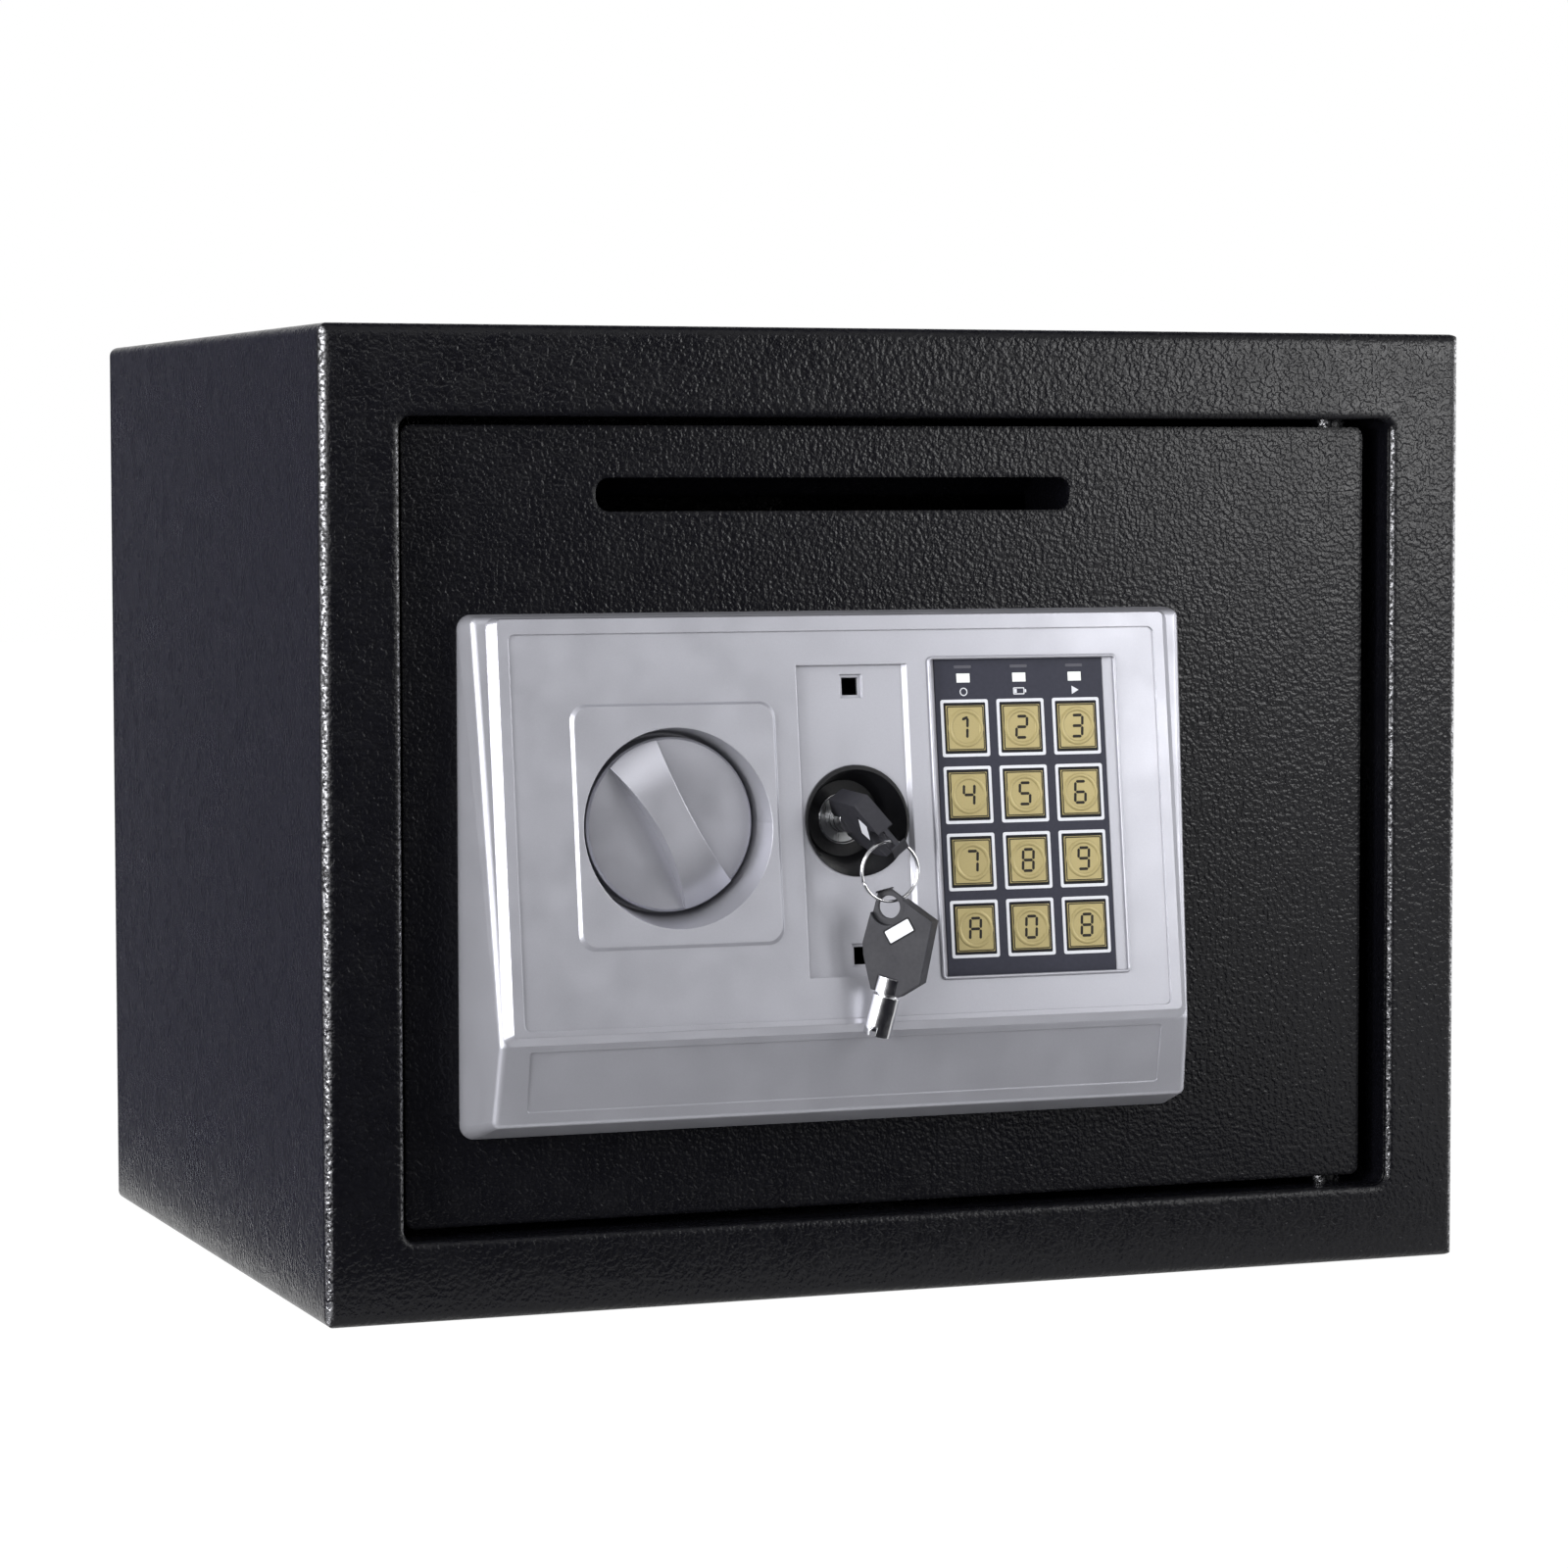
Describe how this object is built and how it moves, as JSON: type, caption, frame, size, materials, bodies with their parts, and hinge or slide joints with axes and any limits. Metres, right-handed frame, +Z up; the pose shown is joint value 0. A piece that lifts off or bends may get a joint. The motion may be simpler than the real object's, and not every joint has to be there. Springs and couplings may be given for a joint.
{
  "type": "electronic safe",
  "caption": "Steel box safe with a drop slot in its hinged front door, and a raised panel with a turning knob, an override lock with keys on a ring, and a keypad.",
  "frame": {"origin": "middle of the cabinet's underside", "axes": "the door faces -Y, +X is to the right as seen from the front, +Z is up"},
  "size_m": [0.38, 0.3177, 0.3],
  "materials": {
    "body_paint": "black orange-peel powder coat",
    "mat": "dark needle felt",
    "panel": "silver metallic paint, satin",
    "knob": "silver metallic paint, satin",
    "black_plastic": "fine-grained black",
    "overlay": "printed dark blue-grey film",
    "key_cap": "gold print under a clear dome, black border",
    "indicator": "frosted clear window",
    "nylon": "natural nylon",
    "steel": "zinc-plated",
    "chrome": "bright nickel",
    "brass": "plain sintered bush",
    "board": "green circuit board",
    "coil": "taped winding",
    "cell": "plain wrapped cell",
    "red_plastic": "red button"
  },
  "bodies": {
    "cabinet": {"body_shell": "body_paint", "back_panel": "body_paint", "frame_return": "body_paint", "strike_bar": "body_paint", "hinge_pins": "body_paint", "floor_mat": "mat"},
    "door": {"door_plate": "body_paint", "door_tray": "body_paint", "back_cover": "black_plastic", "cover_screws": "steel", "slot_chute": "body_paint", "hinge_ears": "body_paint", "hinge_bushes": "brass", "bolt_guides": "nylon", "bar_screws": "steel", "panel_housing": "panel", "housing_screws": "steel", "keypad_overlay": "overlay", "circuit_board": "board", "led_windows": "indicator", "lock_cup": "black_plastic", "lock_barrel": "black_plastic", "lock_nut": "steel", "spindle_bush": "nylon", "solenoid_frame": "steel", "solenoid_coil": "coil", "battery_box": "black_plastic", "batteries": "cell", "reset_switch": "black_plastic", "plunger_spring": "steel"},
    "bolts": {"bolt_bar": "steel", "live_bolts": "steel"},
    "knob": {"knob": "knob", "knob_spindle": "steel", "crank_disc": "steel", "spindle_screw": "steel"},
    "plug": {"lock_plug": "steel", "lock_cam": "steel", "cam_nut": "steel"},
    "plunger": {"plunger": "steel", "lift_plate": "steel"},
    "door_key": {"door_key_bow": "black_plastic", "door_key_tube": "chrome"},
    "ring": {"key_ring": "chrome"},
    "spare_key": {"spare_key_bow": "black_plastic", "spare_key_tube": "chrome"},
    "reset": {"reset_button": "red_plastic"},
    "lid": {"battery_lid": "black_plastic"},
    "button_1": {"key_1": "key_cap"},
    "button_2": {"key_2": "key_cap"},
    "button_3": {"key_3": "key_cap"},
    "button_4": {"key_4": "key_cap"},
    "button_5": {"key_5": "key_cap"},
    "button_6": {"key_6": "key_cap"},
    "button_7": {"key_7": "key_cap"},
    "button_8": {"key_8": "key_cap"},
    "button_9": {"key_9": "key_cap"},
    "button_a": {"key_a": "key_cap"},
    "button_0": {"key_0": "key_cap"},
    "button_b": {"key_b": "key_cap"}
  },
  "joints": [
    {"name": "door_hinge", "type": "hinge", "parent": "cabinet", "child": "door", "pos_m": [0.1515, -0.1225, 0.15], "axis": [0, 0, 1], "range_deg": [0, 100]},
    {"name": "knob_turn", "type": "hinge", "parent": "door", "child": "knob", "pos_m": [-0.082, -0.132, 0.14878], "axis": [0, -1, 0], "range_deg": [0, 90]},
    {"name": "bolt_slide", "type": "slide", "parent": "door", "child": "bolts", "axis": [-1, 0, 0], "range_m": [0, 0.014]},
    {"name": "lock_turn", "type": "hinge", "parent": "door", "child": "plug", "pos_m": [-0.023, -0.1367, 0.14878], "axis": [0, 1, 0], "range_deg": [0, 90]},
    {"name": "plunger_lift", "type": "slide", "parent": "door", "child": "plunger", "axis": [0, 0, 1], "range_m": [0, 0.004], "stiffness_N_per_m": 100, "springref_m": -0.004, "deforming": ["plunger_spring"]},
    {"name": "key_pull", "type": "slide", "parent": "plug", "child": "door_key", "axis": [0, -1, 0], "range_m": [0, 0.012]},
    {"name": "ring_turn", "type": "hinge", "parent": "door_key", "child": "ring", "pos_m": [-0.01903, -0.1658, 0.14351], "axis": [0, 1, 0], "range_deg": [-82, 0]},
    {"name": "spare_swing", "type": "hinge", "parent": "ring", "child": "spare_key", "pos_m": [-0.01903, -0.1658, 0.12351], "axis": [0.6691, 0.7431, 0], "range_deg": [-20, 0]},
    {"name": "reset_press", "type": "slide", "parent": "door", "child": "reset", "axis": [0, -1, 0], "range_m": [0, 0.0012], "stiffness_N_per_m": 400, "springref_m": -0.001},
    {"name": "lid_slide", "type": "slide", "parent": "door", "child": "lid", "axis": [0, 0, 1], "range_m": [0, 0.06]},
    {"name": "press_1", "type": "slide", "parent": "door", "child": "button_1", "axis": [0, 0.992, -0.1261], "range_m": [0, 0.0005], "stiffness_N_per_m": 400, "springref_m": -0.0005},
    {"name": "press_2", "type": "slide", "parent": "door", "child": "button_2", "axis": [0, 0.992, -0.1261], "range_m": [0, 0.0005], "stiffness_N_per_m": 400, "springref_m": -0.0005},
    {"name": "press_3", "type": "slide", "parent": "door", "child": "button_3", "axis": [0, 0.992, -0.1261], "range_m": [0, 0.0005], "stiffness_N_per_m": 400, "springref_m": -0.0005},
    {"name": "press_4", "type": "slide", "parent": "door", "child": "button_4", "axis": [0, 0.992, -0.1261], "range_m": [0, 0.0005], "stiffness_N_per_m": 400, "springref_m": -0.0005},
    {"name": "press_5", "type": "slide", "parent": "door", "child": "button_5", "axis": [0, 0.992, -0.1261], "range_m": [0, 0.0005], "stiffness_N_per_m": 400, "springref_m": -0.0005},
    {"name": "press_6", "type": "slide", "parent": "door", "child": "button_6", "axis": [0, 0.992, -0.1261], "range_m": [0, 0.0005], "stiffness_N_per_m": 400, "springref_m": -0.0005},
    {"name": "press_7", "type": "slide", "parent": "door", "child": "button_7", "axis": [0, 0.992, -0.1261], "range_m": [0, 0.0005], "stiffness_N_per_m": 400, "springref_m": -0.0005},
    {"name": "press_8", "type": "slide", "parent": "door", "child": "button_8", "axis": [0, 0.992, -0.1261], "range_m": [0, 0.0005], "stiffness_N_per_m": 400, "springref_m": -0.0005},
    {"name": "press_9", "type": "slide", "parent": "door", "child": "button_9", "axis": [0, 0.992, -0.1261], "range_m": [0, 0.0005], "stiffness_N_per_m": 400, "springref_m": -0.0005},
    {"name": "press_a", "type": "slide", "parent": "door", "child": "button_a", "axis": [0, 0.992, -0.1261], "range_m": [0, 0.0005], "stiffness_N_per_m": 400, "springref_m": -0.0005},
    {"name": "press_0", "type": "slide", "parent": "door", "child": "button_0", "axis": [0, 0.992, -0.1261], "range_m": [0, 0.0005], "stiffness_N_per_m": 400, "springref_m": -0.0005},
    {"name": "press_b", "type": "slide", "parent": "door", "child": "button_b", "axis": [0, 0.992, -0.1261], "range_m": [0, 0.0005], "stiffness_N_per_m": 400, "springref_m": -0.0005}
  ],
  "couplings": [
    {"joint": "knob_turn", "follows": "bolt_slide", "rad_per_m": 112.2},
    {"joint": "lock_turn", "follows": "plunger_lift", "rad_per_m": 392.69},
    {"joint": "ring_turn", "follows": "plunger_lift", "rad_per_m": -353.42}
  ]
}
